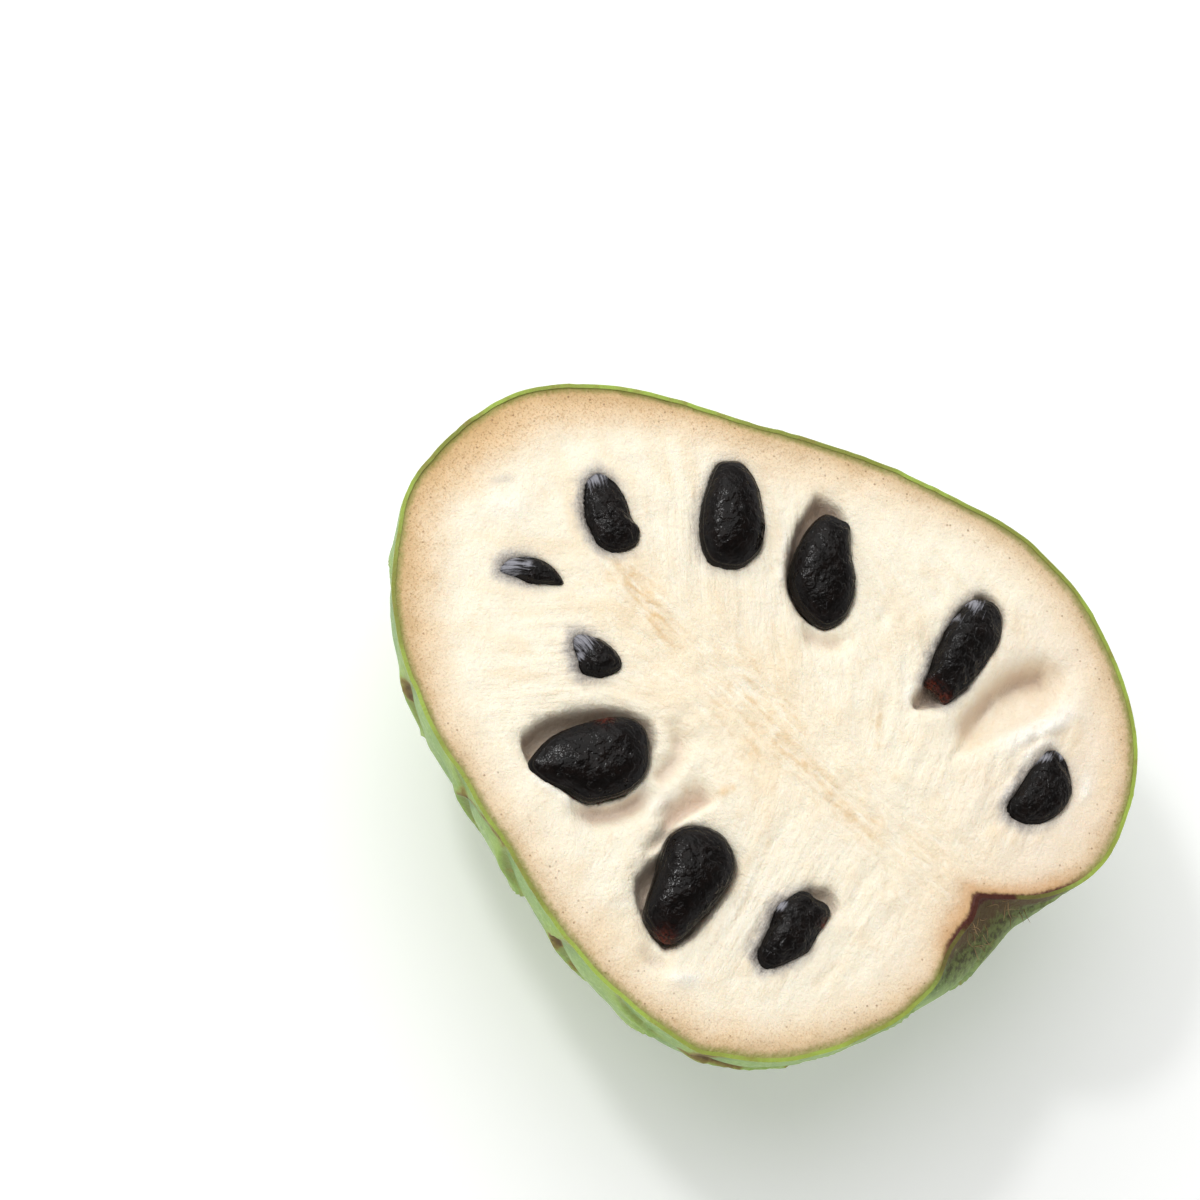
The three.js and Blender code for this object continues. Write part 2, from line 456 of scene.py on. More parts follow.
green = finish.mix(dimple_mask * 0.85, green, srgb(88, 90, 48))
green = finish.mix(dimple_mask * finish.step(hairs, 0.42, 0.62) * 0.8, green, srgb(48, 38, 20))
bark = finish.step(finish.noted("bark") + (hairs - 0.5) * 1.2, 0.25, 1.0)
green = finish.mix(bark * 0.85, green, srgb(84, 62, 32))
green = finish.mix(dimple_mask * finish.step(hairs, 0.38, 0.27) * 0.55, green, srgb(150, 132, 84))
edge_mask = finish.step(finish.noted("cut_edge"), 0.15, 0.9)
edge_colour = finish.mix(finish.step(patches, 0.35, 0.65), srgb(132, 136, 54), srgb(156, 178, 72))
edge_colour = finish.mix(finish.step(mottle, 0.5, 0.7) * 0.55, edge_colour, srgb(140, 122, 60))
green = finish.mix(edge_mask * (1 - dimple_mask * 0.8), green, edge_colour)
woody = finish.step(finish.noted("woody") + (hairs - 0.5) * 0.8, 0.3, 0.8)
green = finish.mix(woody, green, srgb(70, 28, 12))
texture = finish.bump(speckle * 0.4 + leathery * 0.8 + hairs * dimple_mask * 2.0, 0.16)
rind.data.materials.append(finish.surface(
    Base_Color=green, Roughness=0.36 + scar * 0.3 + dimple_mask * 0.4 + speckle * 0.12, Normal=texture,
    Subsurface_Weight=0.12, Subsurface_Radius=(0.5, 0.8, 0.25), Subsurface_Scale=0.002,
    Specular_IOR_Level=0.4))
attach(rind, "root")
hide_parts("half_fruit")

# ---- The stem fibres -------------------------------------------------------------------------
# Short dry strands of the torn stalk, standing tangled in the stem dimple and on its lips. Each
# is a thin tube bent along a curve.

STRANDS = 24
STRAND_THICKNESS = 0.16
STRAND_LENGTH = (1.5, 3.2)
STRAND_TURN = (-0.1, 0.12)  # where they are rooted: round the fruit from the stem, in radians
STRAND_DROP = (0.02, 0.17)  # and down from the cut face
STRAND_CURL = 0.9
TIP_TAPER = 0.7  # how much thinner a strand is at its tip

chance = np.random.default_rng(11)
strands_made = []
for k in range(STRANDS):
    strand = start_mesh(
        bpy.ops.mesh.primitive_uv_sphere_add, segments=6, ring_count=12, radius=1)
    tube = corners_of(strand)
    t = np.arccos(np.clip(-tube[:, 2], -1, 1)) / math.pi
    tube[:, :2] /= np.maximum(np.hypot(tube[:, 0], tube[:, 1]), 0.2)[:, None]
    turn = chance.uniform(*STRAND_TURN)
    drop = chance.uniform(*STRAND_DROP)
    root = smooth_skin(np.array([[math.cos(turn) * math.cos(drop),
                                  math.sin(turn) * math.cos(drop), -math.sin(drop)]]))[0]
    lean = np.array([0.5, chance.uniform(-0.9, 0.9), chance.uniform(-0.5, 0.6)])
    lean *= chance.uniform(*STRAND_LENGTH) / np.linalg.norm(lean)
    curl = chance.normal(0, STRAND_CURL, 3) * (0.5, 1, 1)
    line = root + t[:, None] * lean + (t * (1 - t) * 2)[:, None] * curl
    side = np.cross(lean, (0.3, 0.2, 1.0))
    side /= np.linalg.norm(side)
    up = np.cross(side, lean / np.linalg.norm(lean))
    thin = STRAND_THICKNESS / 2 * (1 - TIP_TAPER * t[:, None])
    put(strand.data, line + thin * (tube[:, :1] * side + tube[:, 1:2] * up))
    strands_made.append(strand)
bpy.ops.object.select_all(action="DESELECT")
for strand in strands_made:
    strand.select_set(True)
fibres = strands_made[0]
bpy.context.view_layer.objects.active = fibres
bpy.ops.object.join()
fibres.name = fibres.data.name = "stem_fibres"
smooth_all(fibres)
finish = Finish("dry_stem_fibre")
husk = finish.mix(finish.grain(1.5, 2), srgb(92, 62, 36), srgb(188, 158, 108))
fibres.data.materials.append(finish.surface(Base_Color=husk, Roughness=0.7))
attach(fibres, "root")

# ---- The flesh -------------------------------------------------------------------------------
# Moist, cream-white flesh filling the rind, with a fibrous core along the axis and strands that
# fan out from it between the seeds. The knife has opened a bed round each seed, a long pit that
# one seed has dropped out of, and furrows. It browns next to the rind and round the stem.

# Each seed's outline on the face, about the middle of the place that it fills, with how high it
# stands out of the face at its top, how far it tips towards X and Y, and how grey its halo is.
# wrinkles is how deep its coat is wrinkled, where it is smoother than most.
SEEDS = {
    1: dict(top=1.5, tip=(0.10, -0.10), halo=1.0, outline=[
        (-4.6, 2.8), (-1.8, 3.3), (1.4, 2.4), (4.3, 0.6), (6.3, 0.0), (7.3, -1.9), (6.8, -3.7),
        (5.5, -5.3), (3.5, -6.1), (1.4, -5.6), (-1.3, -4.3), (-3.7, -2.0), (-5.1, 0.3)]),
    2: dict(top=1.0, tip=(0.05, -0.12), halo=0.9, outline=[
        (-4.3, -2.5), (-4.5, -0.5), (-3.1, 1.7), (-1.1, 3.1), (0.6, 3.6), (2.4, 3.6), (4.2, 2.9),
        (3.8, 2.0), (2.1, 0.6), (0.2, -0.9), (-1.8, -1.7), (-3.3, -2.4)]),
    3: dict(top=1.6, tip=(0.10, 0.0), halo=1.0, outline=[
        (-3.3, 0.7), (-1.3, 2.1), (0.7, 2.9), (3.0, 2.9), (4.9, 2.1), (5.2, 0.7), (4.3, -1.3),
        (2.5, -2.9), (0.9, -3.3), (-0.8, -2.2), (-2.6, -1.1)]),
    4: dict(wrinkles=0.13, top=2.5, tip=(0.05, 0.05), halo=0.15, outline=[
        (-6.6, -7.7), (-7.3, -5.2), (-7.2, -2.0), (-6.0, 1.2), (-4.3, 4.2), (-2.4, 7.0), (-0.3, 8.8),
        (2.1, 9.2), (4.2, 8.2), (6.0, 6.3), (7.1, 4.6), (7.5, 2.7), (7.1, -0.2), (5.7, -2.9),
        (3.8, -5.4), (2.1, -6.1), (0.2, -6.4), (-1.5, -7.2), (-3.8, -7.9)]),
    5: dict(wrinkles=0.12, top=3.3, tip=(0.0, 0.0), halo=0.6, outline=[
        (-7.3, 4.7), (-6.3, 6.4), (-4.7, 7.7), (-2.7, 7.5), (0.0, 6.4), (2.7, 4.4), (5.1, 2.1),
        (6.7, -0.5), (6.8, -3.2), (6.2, -5.4), (4.3, -7.2), (2.2, -8.0), (-0.1, -7.0),
        (-2.3, -5.2), (-4.5, -2.1), (-6.1, 1.0)]),
    6: dict(wrinkles=0.17, top=2.6, tip=(0.0, 0.0), halo=0.35, outline=[
        (-6.5, 6.4), (-5.7, 7.8), (-3.9, 8.4), (-2.2, 8.8), (-0.7, 7.3), (1.3, 5.2), (3.7, 3.4),
        (5.1, 1.9), (6.3, -0.3), (6.9, -3.2), (6.0, -6.3), (3.6, -7.0), (0.9, -6.7), (-1.6, -5.7),
        (-3.5, -4.1), (-5.2, -1.1), (-6.2, 1.9), (-6.5, 4.5)]),
    7: dict(top=2.3, tip=(-0.06, 0.0), halo=0.9, outline=[
        (-3.6, 7.7), (-2.0, 8.7), (0.0, 8.9), (1.8, 7.7), (3.5, 4.7), (4.1, 1.3), (4.5, -2.3),
        (4.2, -5.5), (3.9, -8.1), (3.3, -8.7), (1.6, -8.3), (0.0, -8.4), (-0.9, -8.4), (-1.6, -6.5),
        (-2.6, -4.3), (-3.1, -1.7), (-3.9, 0.5), (-4.2, 3.1), (-4.3, 5.9)]),
    8: dict(top=1.9, tip=(0.05, 0.0), halo=1.0, outline=[
        (-2.7, 5.4), (-1.0, 6.0), (1.6, 5.1), (3.5, 3.5), (4.6, 1.2), (4.7, -1.3), (4.0, -3.9),
        (2.4, -6.0), (0.6, -6.9), (-1.4, -6.9), (-2.4, -5.6), (-2.5, -4.0), (-2.7, -2.0),
        (-3.1, 0.6), (-3.1, 3.2)]),
    9: dict(wrinkles=0.15, top=3.4, tip=(0.0, 0.05), halo=0.15, outline=[
        (-5.3, 6.8), (-4.0, 8.4), (-2.3, 9.7), (0.0, 10.3), (2.6, 9.9), (4.6, 8.6), (5.8, 6.5),
        (6.3, 3.5), (6.5, 0.4), (6.4, -2.8), (6.2, -5.3), (5.7, -7.1), (4.5, -8.2), (2.6, -8.4), (0.7, -8.0),
        (-0.6, -7.1), (-2.1, -4.2), (-3.4, -1.0), (-4.9, 2.0), (-5.7, 4.5)]),
    10: dict(top=2.2, tip=(-0.05, 0.0), halo=1.0, outline=[
        (-2.6, 5.3), (-1.4, 6.4), (0.3, 6.6), (1.9, 7.0), (3.2, 6.6), (3.8, 5.0), (4.1, 2.5),
        (4.5, -0.4), (3.4, -3.6), (2.2, -6.2), (0.8, -7.1), (-0.9, -6.3), (-1.6, -4.5),
        (-2.3, -1.9), (-3.2, 0.1), (-3.5, 2.0), (-3.1, 3.4)]),
}

# Where the flesh stands open beyond a seed: the depth, how wide its wall is, how much brown its walls get
# (partly browned flesh, partly painted shade), and the outline on the face. The last but one is the pit that
# a seed has dropped out of.
POCKETS = [
    (5.4, 0.8, 0.8, [
        (-24.9, -30.3), (-24.8, -27.1), (-23.7, -24.1), (-21.3, -20.8), (-18.6, -17.7),
        (-15.2, -15.5), (-11.8, -14.4), (-9.3, -15.6), (-7.6, -18.3), (-6.4, -20.7), (-6.2, -23.4),
        (-6.9, -26.6), (-9.2, -30.2), (-11.8, -31.9), (-15.3, -32.6), (-19.2, -33.2),
        (-22.6, -32.3)]),
    (4.6, 0.8, 1.0, [
        (-16.3, 31.0), (-13.0, 32.0), (-10.7, 31.5), (-7.9, 29.1), (-4.7, 25.8), (-2.1, 23.7),
        (-0.3, 20.8), (0.1, 17.8), (-0.9, 14.8), (-4.2, 13.9), (-7.5, 14.4), (-10.6, 15.9),
        (-12.6, 18.5), (-15.2, 23.1), (-16.2, 26.2), (-16.6, 28.9)]),
    (4.2, 0.6, 0.6, [
        (12.4, 36.9), (14.2, 38.0), (16.3, 37.5), (18.6, 35.7), (21.0, 26.0), (20.2, 19.7),
        (18.9, 16.8), (16.8, 15.2), (15.4, 16.9), (15.0, 19.9), (13.5, 23.8), (12.2, 28.6),
        (11.7, 33.0)]),
    (5.0, 1.0, 0.8, [
        (1.6, -23.6), (4.9, -20.6), (10.0, -20.2), (12.6, -21.4), (14.4, -24.1), (15.2, -28.0),
        (15.4, -31.8), (15.6, -34.7), (14.8, -37.4), (13.6, -40.0), (11.3, -40.2), (8.0, -39.2),
        (4.4, -37.4), (2.0, -35.0), (1.6, -32.1), (1.8, -29.5), (1.2, -26.4)]),
    (3.8, 1.3, 0.1, [
        (30.6, 37.6), (27.4, 37.4), (25.0, 35.2), (23.4, 30.9), (22.9, 26.1), (23.2, 21.7),
        (24.2, 17.2), (25.8, 12.2), (28.2, 16.2), (30.2, 20.8), (32.2, 25.4), (33.6, 30.2),
        (33.2, 35.2)]),
    (3.2, 0.7, 0.5, [
        (21.9, -17.8), (23.3, -15.9), (25.2, -14.6), (27.0, -14.9), (28.6, -16.3), (28.6, -18.6),
        (27.0, -21.0), (23.0, -20.5)]),
]

# Furrows and ridges: the line along the face, the width left and right of it, its rise, and how
# long it takes to fade in and out as a share of its length. Torn ones are ragged.
FURROWS = [
    # the slit between two lobes, and the fold beside it
    ([(3.6, -15.8), (2.4, -18.2), (1.6, -20.8), (0.7, -24.2), (0.2, -27.2)],
     0.8, 3.4, -3.2, 0.25, 0.4, 0),
    ([(2.3, -22.6), (1.7, -25.4), (1.4, -28.6), (1.0, -32.0)], 0.7, 1.3, -1.8, 0.4, 0.4, 0),
    # the shaded foot of the pit's steeper wall
    ([(25.6, 14.2), (24.6, 19.6), (24.6, 25.6), (25.8, 31.2), (29.4, 35.4)],
     1.9, 2.6, -2.4, 0.3, 0.05, 0),
    # hollows beside the open beds
    ([(-10.6, -13.0), (-7.2, -13.4), (-5.2, -15.6), (-5.0, -19.0), (-5.2, -22.0)],
     1.6, 1.6, -1.9, 0.3, 0.2, 0),
    ([(-4.8, -20.4), (-5.2, -25.4), (-6.9, -29.6), (-10.4, -32.4), (-13.6, -33.2)],
     1.8, 1.6, -2.6, 0.25, 0.4, 0),
    ([(-5.4, 13.2), (-1.2, 13.2), (1.7, 15.2), (2.2, 18.8)], 1.5, 1.3, -1.7, 0.3, 0.4, 0),
    ([(2.9, 26.4), (4.1, 23.4), (4.6, 19.6)], 0.9, 0.9, -0.55, 0.4, 0.5, 0),
    ([(9.6, -41.0), (12.6, -41.9), (15.9, -40.4)], 1.2, 1.2, -1.5, 0.3, 0.4, 1),
    ([(31.6, -18.3), (33.5, -22.4), (33.4, -26.2), (32.2, -29.6)], 0.9, 0.9, -0.35, 0.3, 0.3, 0),
    ([(35.6, 8.0), (37.4, 10.8), (36.4, 14.0)], 1.6, 1.6, -0.45, 0.3, 0.3, 0),
]
RIDGES = [
    # wet, wrinkled flesh along the pit and round the seed beside it
    ([(36.4, 36.0), (35.4, 31.4), (34.0, 27.2), (32.4, 23.2), (31.2, 19.8), (30.2, 15.8)],
     1.2, 2.2, 1.0, 0.3, 0.5, 1.8),
    ([(37.6, 27.6), (35.4, 25.6), (34.6, 22.2), (35.4, 18.8)], 0.9, 0.9, 0.7, 0.3, 0.3, 1),
    ([(35.4, 18.2), (36.2, 15.6), (36.0, 12.6)], 0.8, 0.7, 0.7, 0.3, 0.4, 1),
    ([(42.4, 27.4), (44.8, 24.4), (45.4, 21.6)], 0.8, 0.8, 0.4, 0.4, 0.5, 1),
    # torn lips of the open beds
    ([(-21.8, -33.6), (-17.6, -33.4), (-13.4, -32.6), (-11.4, -33.6)], 0.5, 0.7, 0.5, 0.3, 0.3, 1),
    ([(-16.6, 24.2), (-14.4, 20.2), (-12.0, 17.0), (-10.2, 15.6)], 0.5, 0.7, 0.5, 0.3, 0.3, 1),
    ([(14.6, 19.6), (14.6, 16.6), (16.4, 14.4)], 0.5, 0.5, 0.35, 0.3, 0.4, 1),
    ([(15.0, -42.6), (18.2, -40.6), (19.4, -38.0)], 0.9, 0.9, 0.6, 0.3, 0.4, 1),
    # the white lobe between the open beds
    ([(-3.6, -26.6), (-2.2, -22.6), (-0.4, -18.4)], 1.3, 1.3, 0.5, 0.3, 0.3, 0),
    # the swelling over a seed that lies just under the face
    ([(-53.2, -7.2), (-50.0, -4.8), (-47.4, -1.8)], 2.2, 2.2, 0.35, 0.3, 0.3, 0),
    # strands stretched between two seeds
    ([(14.6, -20.6), (16.2, -25.4), (17.0, -30.6), (17.2, -36.0)], 0.5, 0.5, 0.45, 0.4, 0.4, 0),
    ([(16.2, -19.6), (17.9, -25.0), (19.0, -30.6), (19.6, -36.2)], 0.4, 0.4, 0.35, 0.4, 0.4, 0),
    ([(16.8, -16.2), (18.7, -22.6), (20.2, -29.0), (21.4, -36.8)], 0.5, 0.5, 0.3, 0.4, 0.4, 0),
    ([(13.4, -17.4), (15.0, -21.2), (16.5, -26.6), (17.9, -32.4)], 0.3, 0.3, 0.3, 0.4, 0.4, 0),
]
# Golden streaks where the strands have browned: the line, its width and its strength.
STREAKS = [
    ([(-38.5, 1.5), (-32.6, 0.6), (-26.0, -0.4), (-19.6, -2.2), (-13.0, -4.2)], 2.4, 0.75),
    ([(-14.0, -1.6), (-6.1, -2.2), (2.6, -3.0), (12.3, -4.0), (22.7, -4.5), (31.4, -4.3)], 2.2, 0.6),
    ([(-9.0, -5.0), (-1.0, -6.8), (7.0, -7.2)], 1.8, 0.5),
    ([(-4.0, 3.6), (3.0, 1.6), (9.0, -0.4)], 1.8, 0.4),
    ([(-13.0, 7.0), (-7.0, 3.0), (-2.0, -1.5)], 1.6, 0.6),
    ([(8.2, 15.0), (11.5, 12.7), (15.6, 8.4), (17.0, 4.4)], 1.1, 0.85),
    ([(4.6, -12.4), (3.6, -15.0), (2.2, -17.8)], 1.0, 0.8),
    ([(-44.0, 5.4), (-39.0, 5.8), (-34.0, 3.6)], 1.6, 0.45),
    ([(-53.8, 19.0), (-47.0, 27.0), (-39.0, 32.5)], 2.2, 0.2),
]
GHOST = ([(-54.8, -6.0), (-53.8, -3.4), (-52.2, -1.2), (-50.2, 0.2)], 1.1, 0.42)  # a seed just under the face
FACE_STEPS = 168
UNDER_RINGS = 7
UNDER_DEPTH = 2.2  # how far the hidden under side stays inside the skin
RIM_OVERLAP = 0.15  # how far the flesh reaches into the rind, so that no gap shows
BED_DEPTH = 5.5
BED_WALL = 1.1
HALO_WIDTH = 1.7
HALO_SIDE = np.array([-0.71, -0.71])  # the side that the grey of the halos leans to
CORE_Y = -2  # the core's line runs along X at this place


def node_middle(node):
    """The middle of a part's place, about the middle of the cut face."""
    low, high = (np.array(corner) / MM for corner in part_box(node))
    return (low + high) / 2 - face_middle


def reach_of(points, outline):
    """For each point, how many millimetres it is inside a smooth outline, the way that it lies
    from the outline's middle, and how far away the outline is that way."""
    knots = np.array(outline)
    count = len(knots)
    steps = np.linspace(3, count + 3, 12 * count)
    route = smooth_curve(np.arange(count + 6), knots[np.arange(-3, count + 3) % count], steps)
    route -= knots.mean(0)
    offset = points[:, :2] - knots.mean(0)
    away = np.linalg.norm(offset, axis=1)
    edge = np.interp(
        np.arctan2(offset[:, 1], offset[:, 0]), np.arctan2(route[:, 1], route[:, 0]),
        np.linalg.norm(route, axis=1), period=math.tau)
    inside = edge - away
    for i in np.nonzero(inside > -8)[0]:
        nearest = np.linalg.norm(route - offset[i], axis=1).min()
        inside[i] = math.copysign(nearest, inside[i])
    return inside, offset / np.maximum(away, 1e-6)[:, None], edge


def beside(points, line):
    """For each point, how far it is to the left of a smooth line, and how far along it is."""
    knots = np.array(line)
    share = np.linspace(0, 1, 25)
    route = smooth_curve(np.linspace(0, 1, len(knots)), knots, share)
    best = np.full(len(points), 1e9)
    left = np.zeros(len(points))
    along = np.zeros(len(points))
    for k in range(len(route) - 1):
        step = route[k + 1] - route[k]
        offset = points[:, :2] - route[k]
        t = np.clip(offset @ step / (step @ step), 0, 1)
        away = np.linalg.norm(offset - t[:, None] * step, axis=1)
        nearer = away < best
        best[nearer] = away[nearer]
        side = np.sign(step[0] * offset[:, 1] - step[1] * offset[:, 0])
        left[nearer] = (away * side)[nearer]
        along[nearer] = ((k + t) / (len(route) - 1))[nearer]
    return left, along


def stroke(points, line, left_width, right_width, fade_in, fade_out):
    """A mound of height 1 along a line, with its own width on each side."""
    left, along = beside(points, line)
    mound = np.where(left > 0, bell(left, left_width), bell(left, right_width))
    if fade_in:
        mound = mound * ease(0, fade_in, along)
    if fade_out:
        mound = mound * ease(1, 1 - fade_out, along)
    return mound


flesh, ways = half_ball("flesh", FACE_STEPS, lower=False)
rise = np.degrees(np.arcsin(np.clip(ways[:, 2], 0, 1)))
turn = np.arctan2(ways[:, 1], ways[:, 0])
rim_turns = np.linspace(-math.pi, math.pi, 721)
rim_skin, _ = grown_skin(on_plane(np.cos(rim_turns), np.sin(rim_turns)))
rim_length = np.interp(turn, rim_turns, np.linalg.norm(rim_skin, axis=1))
rim_length += RIM_OVERLAP - RIND_THICKNESS
share = 1 - rise / 90
face = on_plane(np.cos(turn), np.sin(turn)) * (rim_length * share)[:, None]
from_rind = rim_length * (1 - share)

# Strands leave the core at a slant: their foot on the core's line, and how far out they are.
out_of_core = np.abs(face[:, 1] - CORE_Y)
slant = np.where(
    face[:, 1] > CORE_Y,
    np.interp(face[:, 0], (-60, -24, -7, 16, 39, 60), (1.0, 0.95, 0.9, 0.35, 0.25, 0.2)),
    np.interp(face[:, 0], (-60, -20, 8, 25, 50), (0.9, 0.85, -0.45, -0.2, -0.1)))
foot = face[:, 0] + slant * out_of_core
strands = rough(on_plane(foot, out_of_core * 0.16), 1.9, 3, 5)
core_strands = rough(on_plane(face[:, 0] * 0.22, face[:, 1] + 0.3 * foot * 0.22), 1.5, 3, 25)
in_core = bell(out_of_core, 9) * ease(-46, -26, face[:, 0]) * ease(1.5, 6, from_rind)
fan = ease(3, 9, out_of_core) * ease(5, 12, from_rind) * ease(-45, -25, face[:, 0])
ragged = rough(face, 1.5, 3, 70)
fibre = in_core * core_strands + (1 - in_core) * strands
threads = np.clip(1 - 3.2 * np.abs(fibre), 0, 1)

surface = 0.5 * rough(face, 22, 2, 3) + 0.28 * rough(face, 5, 3, 9)
surface += 0.3 * fan * strands + 0.4 * in_core * core_strands
surface -= 0.4 * bell(from_rind, 0.9)
wet_and_sheen = np.zeros(len(face))
for line, left_width, right_width, height, fade_in, fade_out, torn in FURROWS + RIDGES:
    mound = stroke(face, line, left_width, right_width, fade_in, fade_out)
    surface += mound * (height + torn * 0.55 * ragged)
    # Raised ridges are wet: glossier, and painted whiter, partly as paler flesh and partly as painted sheen.
    if height > 0:
        wet_and_sheen = np.maximum(wet_and_sheen, mound * (0.55 + 0.45 * torn))

halo = np.zeros(len(face))
sunk = np.zeros(len(face))
wall_brown_and_shade = np.zeros(len(face))
for depth, wall, tint, outline in POCKETS:
    inside, _, _ = reach_of(face, outline)
    inside = inside + 0.22 * ragged
    opened = 1 - bell(np.maximum(inside, 0), wall * 1.6)
    sunk = np.minimum(sunk, -depth * opened)
    wall_brown_and_shade = np.maximum(wall_brown_and_shade, tint * ease(0.05, 0.6, opened))
    surface -= 0.25 * bell(inside, 0.7)
for number, seed in SEEDS.items():
    outline = np.array(seed["outline"]) + node_middle(f"seed_{number}")[:2]
    inside, way, _ = reach_of(face, outline)
    inside = inside + 0.12 * ragged
    sunk = np.minimum(sunk, -BED_DEPTH * (1 - bell(np.maximum(inside, 0), BED_WALL)))
    gap = np.maximum(-inside, 0)
    lean = 0.62 + 0.38 * way @ HALO_SIDE
    halo = np.maximum(halo, seed["halo"] * lean * bell(gap, HALO_WIDTH + 0.6 * ragged))
golden = np.zeros(len(face))
for line, width, strength in STREAKS:
    golden = np.maximum(golden, strength * stroke(face, line, width, width, 0.3, 0.3))
line, width, strength = GHOST
halo = np.maximum(halo, strength * stroke(face, line, width, width, 0.4, 0.4))

calm = ease(0, 0.7, from_rind)
face[:, 2] = (surface + sunk) * calm - 0.12 * (1 - calm)
put(flesh.data, face)
turned = np.abs(np.degrees(turn))
stem_side = 1 - ease(10, 17, turned)
note(flesh.data, "from_rind", from_rind)
note(flesh.data, "ring", np.interp(
    np.degrees(turn), (-180, -150, -120, -60, -20, 20, 45, 90, 140, 180),
    (1.15, 0.95, 0.6, 0.7, 0.65, 0.6, 0.6, 0.65, 0.85, 1.15)))
note(flesh.data, "halo", halo)
# Painted shade and browning: the deeper the furrows sink and the more a bed stands open, the browner and
# darker the flesh is painted.
note(flesh.data, "sunk", np.maximum(wall_brown_and_shade, ease(-0.6, -3.0, surface)))
note(flesh.data, "wet_and_sheen", wet_and_sheen)
note(flesh.data, "golden", golden * (0.55 + 0.45 * threads) + in_core * (0.1 + 0.3 * threads**2))
note(flesh.data, "fibrous", np.clip(fan * 0.7 + in_core, 0, 1))
note(flesh.data, "in_core", in_core)
note(flesh.data, "tufts", 0.5 + 0.5 * rough(on_plane(foot * 0.7, out_of_core * 0.45), 5, 4, 44))
note(flesh.data, "foot", foot)
note(flesh.data, "out_of_core", out_of_core)
note(flesh.data, "peach", ease(0, 66, face[:, 0] + 0.4 * face[:, 1]))
note(flesh.data, "stem_fringe", stem_side)

# The hidden under side closes the piece inside the rind.
mesh = bmesh.new()
mesh.from_mesh(flesh.data)
ring = [e for e in mesh.edges if e.is_boundary]
for k in range(1, UNDER_RINGS + 1):
    made = bmesh.ops.extrude_edge_only(mesh, edges=ring)["geom"]
    ring = [g for g in made if isinstance(g, bmesh.types.BMEdge)]
    corners = [g for g in made if isinstance(g, bmesh.types.BMVert)]
    down = math.radians(90 * k / (UNDER_RINGS + 0.5))
    around = np.array([np.array(v.co) / MM - face_middle for v in corners]) * (1, 1, 0)
    around /= np.linalg.norm(around, axis=1)[:, None]
    way = around * math.cos(down) - np.array([0, 0, 1]) * math.sin(down)
    under = smooth_skin(way) - way * UNDER_DEPTH
    under[:, 2] = np.maximum(under[:, 2], ground + UNDER_DEPTH)
    for v, p in zip(corners, (under + face_middle) * MM):
        v.co = p
bmesh.ops.contextual_create(mesh, geom=[e for e in ring if e.is_boundary])
bmesh.ops.recalc_face_normals(mesh, faces=mesh.faces)
mesh.to_mesh(flesh.data)
mesh.free()
smooth_all(flesh)

finish = Finish("moist_flesh")
rim_mm = finish.noted("from_rind")
halo_mask = finish.noted("halo")
hollow_brown_and_shade_mask = finish.noted("sunk")
wet_and_sheen_mask = finish.noted("wet_and_sheen")
core_mask = finish.noted("in_core")
cloud = finish.grain(13, 3)
patch = finish.grain(4.5, 4, 0.6)
grit = finish.grain(0.8, 3, 0.6)
fine = finish.grain(0.32, 2, 0.6)
fan_hair = finish.grain(1.0, 3, 0.6, stretch=(1, 0.22, 1), where=finish.along("foot", "out_of_core"))
core_hair = finish.grain(1.1, 4, 0.6, stretch=(0.3, 1, 1))
hair = core_hair * core_mask + fan_hair * (1 - core_mask)
fibrous = finish.noted("fibrous")
cream = finish.mix(
    finish.step(finish.noted("peach") + (cloud - 0.5) * 0.9, 0.3, 1.1),
    srgb(251, 241, 219), srgb(243, 228, 206))
cream = finish.mix(finish.step(patch, 0.48, 0.72) * 0.35, cream, srgb(241, 221, 188))
cream = finish.mix(finish.step(finish.noted("tufts"), 0.5, 0.85) * 0.4, cream, srgb(240, 218, 182))
cream = finish.mix(core_mask * finish.step(cloud, 0.3, 0.65) * 0.35, cream, srgb(242, 218, 176))
cream = finish.mix(finish.step(hair, 0.5, 0.75) * fibrous * 0.35, cream, srgb(234, 208, 166))
cream = finish.mix(finish.step(hair, 0.5, 0.28) * fibrous * 0.6, cream, srgb(255, 248, 230))
filament = finish.step(hair, 0.455, 0.5) - finish.step(hair, 0.5, 0.545)
cream = finish.mix(filament * fibrous * (0.03 + core_mask * 0.08), cream, srgb(220, 186, 134))
cream = finish.mix(finish.step(grit, 0.5, 0.75) * 0.2, cream, srgb(226, 202, 166))
golden_mask = finish.noted("golden")
browned = finish.step(golden_mask * (0.45 + 1.1 * hair) + (patch - 0.5) * 0.6, 0.2, 1.25)
cream = finish.mix(browned * 0.7, cream, srgb(218, 178, 116))
ring = finish.noted("ring")
uneven = (cloud - 0.5) * 6 + (patch - 0.5) * 3 + (grit - 0.5) * 4
broad_ring = finish.step(rim_mm + uneven - ring * 5 + 3.8, 9.5, 1.0) * ring
cream = finish.mix(broad_ring * 0.8, cream, srgb(226, 190, 140))
near_ring = finish.step(rim_mm + uneven * 0.5, 4.2, 0.2) * ring
cream = finish.mix(near_ring * 0.7, cream, srgb(190, 152, 92))
grains = finish.step(fine, 0.5, 0.68) * broad_ring
cream = finish.mix(grains * 0.5, cream, srgb(160, 116, 66))
fleck = finish.step(finish.specks(1.5), 0.15, 0.08) * finish.step(rim_mm, 8.5, 3)
cream = finish.mix(fleck * 0.6, cream, srgb(128, 88, 50))
next_to_rind = finish.step(rim_mm + (grit - 0.5) * 1.4, 1.6, 0.1)
cream = finish.mix(next_to_rind * 0.85, cream, srgb(132, 136, 52))
